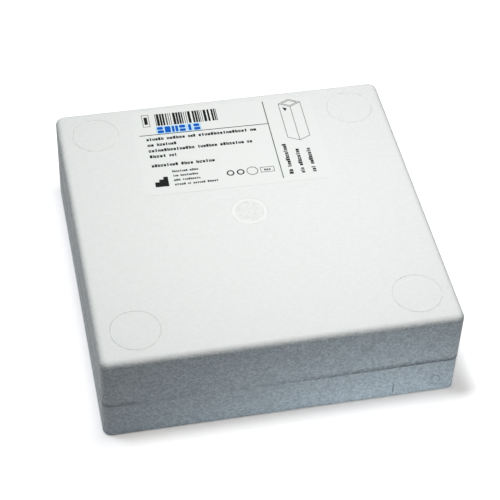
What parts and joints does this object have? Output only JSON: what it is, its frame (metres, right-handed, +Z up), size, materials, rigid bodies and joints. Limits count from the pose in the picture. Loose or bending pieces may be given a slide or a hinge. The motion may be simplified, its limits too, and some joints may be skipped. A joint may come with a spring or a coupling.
{
  "type": "foam box of cuvettes",
  "caption": "Square white foam box whose deep lid lifts off a base of square cells, each holding a clear square cuvette upright.",
  "frame": {"origin": "middle of the underside", "axes": "+Z up, front face towards -Y, label towards +Y"},
  "size_m": [0.2, 0.2, 0.0602],
  "materials": {
    "foam_base": "matt moulded bead foam",
    "foam_lid": "matt moulded bead foam",
    "label_film": "smooth satin, printed in black and blue",
    "ink_black": "matt printed ink",
    "ink_blue": "matt printed ink",
    "clear_plastic": "clear, polished"
  },
  "bodies": {
    "base": {"base": "foam_base", "cuvette_row_01": "clear_plastic", "cuvette_row_02": "clear_plastic", "cuvette_row_03": "clear_plastic", "cuvette_row_04": "clear_plastic", "cuvette_row_05": "clear_plastic", "cuvette_row_06": "clear_plastic", "cuvette_row_07": "clear_plastic", "cuvette_row_08": "clear_plastic", "cuvette_row_09": "clear_plastic", "cuvette_row_10": "clear_plastic"},
    "lid": {"lid": "foam_lid", "label": "label_film", "label_print": "ink_black", "label_code": "ink_blue"}
  },
  "joints": [
    {"name": "lid_lift", "type": "slide", "parent": "base", "child": "lid", "axis": [0, 0, 1], "range_m": [0, 0.1]}
  ]
}
